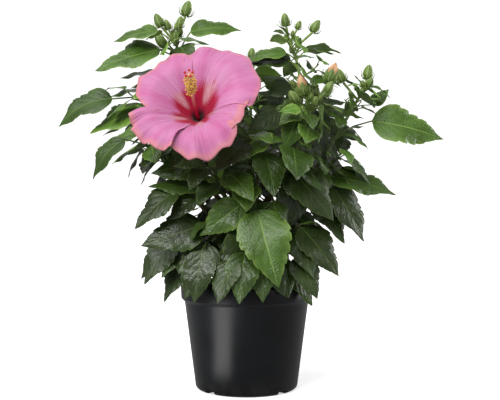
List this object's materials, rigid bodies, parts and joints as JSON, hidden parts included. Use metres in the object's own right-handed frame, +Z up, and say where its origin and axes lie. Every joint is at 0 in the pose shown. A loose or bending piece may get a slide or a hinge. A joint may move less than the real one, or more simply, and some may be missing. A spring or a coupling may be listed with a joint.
{
  "type": "potted hibiscus shrub",
  "caption": "Young hibiscus shrub in a round black nursery pot, with a short branching stem, a full crown of toothed leaves, buds and an open pink bloom.",
  "frame": {"origin": "centre of the pot's flat underside, where it stands on the ground", "axes": "+Z up the stem; -Y towards the side the open bloom faces; +X to the right seen from that side"},
  "size_m": [0.3791, 0.2522, 0.3806],
  "materials": {
    "pot": "satin",
    "soil": "matte",
    "bark": "matte",
    "foliage": "satin",
    "petals": "satin",
    "pollen": "matte",
    "bracts": "satin"
  },
  "bodies": {
    "root": {"pot": "pot", "soil": "soil", "trunk": "bark", "bough_bloom": "bark", "bough_right": "bark", "bough_left": "bark", "bough_left_upper": "bark", "bough_front_left": "bark", "bough_centre": "bark", "bough_right_front": "bark", "bough_right_low": "bark", "bough_right_outer": "bark", "bough_back_left": "bark", "bough_back_right": "bark", "bough_back": "bark", "bloom_corolla": "petals", "bloom_column": "pollen", "bloom_calyx": "bracts", "foliage_top_left": "foliage", "foliage_left_upper": "foliage", "foliage_left_middle": "foliage", "foliage_front_left": "foliage", "foliage_centre_front": "foliage", "foliage_right_front": "foliage", "foliage_right_middle": "foliage", "foliage_right_outer": "foliage", "foliage_top_right": "foliage", "foliage_back_left": "foliage", "foliage_back_right": "foliage", "foliage_back_top": "foliage", "foliage_centre_top": "foliage", "foliage_mid_front": "foliage", "foliage_mid_left": "foliage", "foliage_mid_right": "foliage", "foliage_mid_back_left": "foliage", "foliage_mid_back_right": "foliage", "foliage_low_front": "foliage", "foliage_low_front_left": "foliage", "foliage_low_left": "foliage", "foliage_low_right": "foliage", "foliage_low_back_left": "foliage", "foliage_low_back_right": "foliage"}
  },
  "joints": []
}
